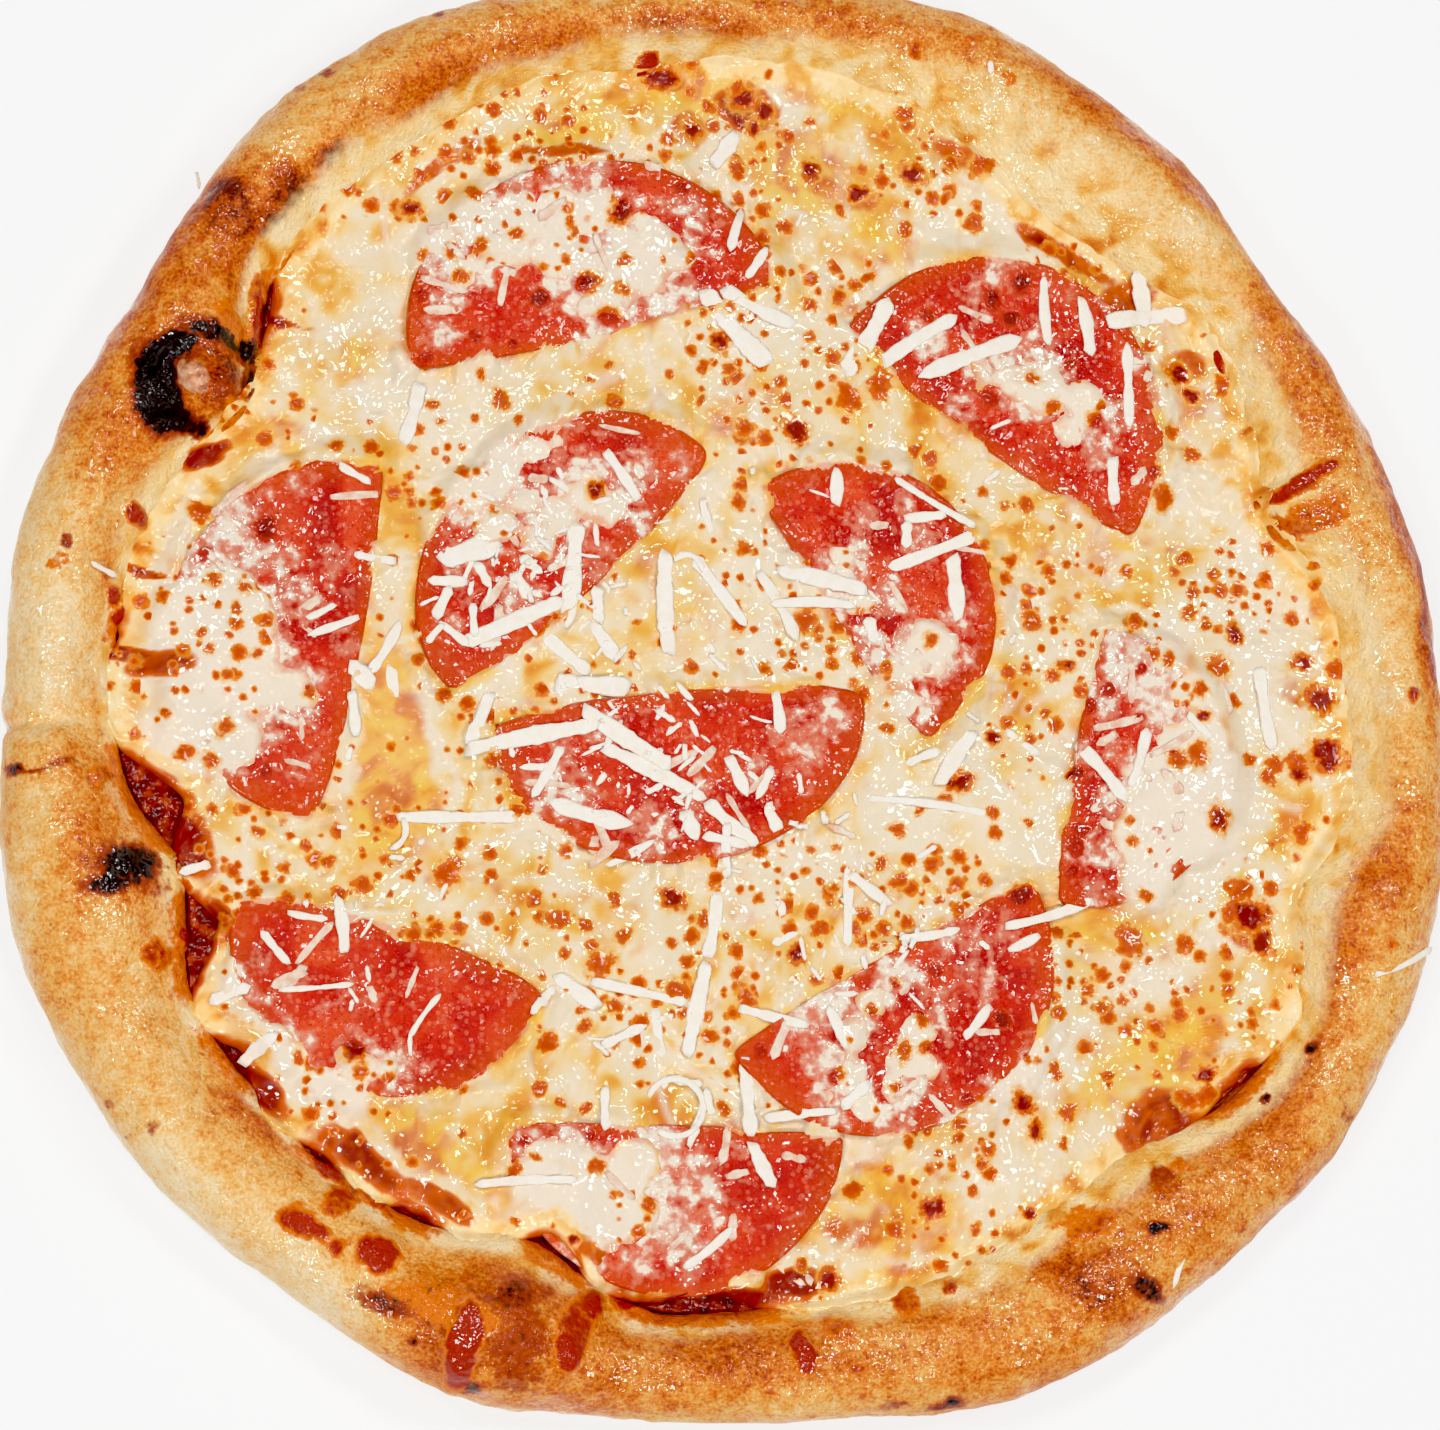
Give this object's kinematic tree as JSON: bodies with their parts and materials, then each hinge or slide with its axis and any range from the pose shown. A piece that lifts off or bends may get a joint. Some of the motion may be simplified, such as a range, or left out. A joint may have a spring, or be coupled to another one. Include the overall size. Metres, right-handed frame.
{
  "type": "pepperoni pizza",
  "caption": "Round pizza with a puffed browned rim, tomato sauce, melted cheese, halved slices of pepperoni sausage and shreds of grated hard cheese.",
  "frame": {"origin": "under the middle of the pizza, on the plane that it rests on", "axes": "+Z up through the top side; +X to the right and +Y up in the picture, which looks down on the pizza"},
  "size_m": [0.3056, 0.3052, 0.0229],
  "materials": {
    "crust": "baked bread, browned and blistered, with a fine pale grain",
    "sauce": "wet tomato sauce",
    "cheese": "melted cheese, oily, with browned bubbles",
    "pepperoni": "smooth cured sausage with flecks of fat, oily"
  },
  "bodies": {
    "root": {"crust": "crust", "sauce": "sauce", "cheese": "cheese", "pepperoni_half_01": "pepperoni", "pepperoni_half_02": "pepperoni", "pepperoni_half_03": "pepperoni", "pepperoni_half_04": "pepperoni", "pepperoni_half_05": "pepperoni", "pepperoni_half_06": "pepperoni", "pepperoni_half_07": "pepperoni", "pepperoni_half_08": "pepperoni", "pepperoni_half_09": "pepperoni", "pepperoni_half_10": "pepperoni"}
  },
  "joints": []
}
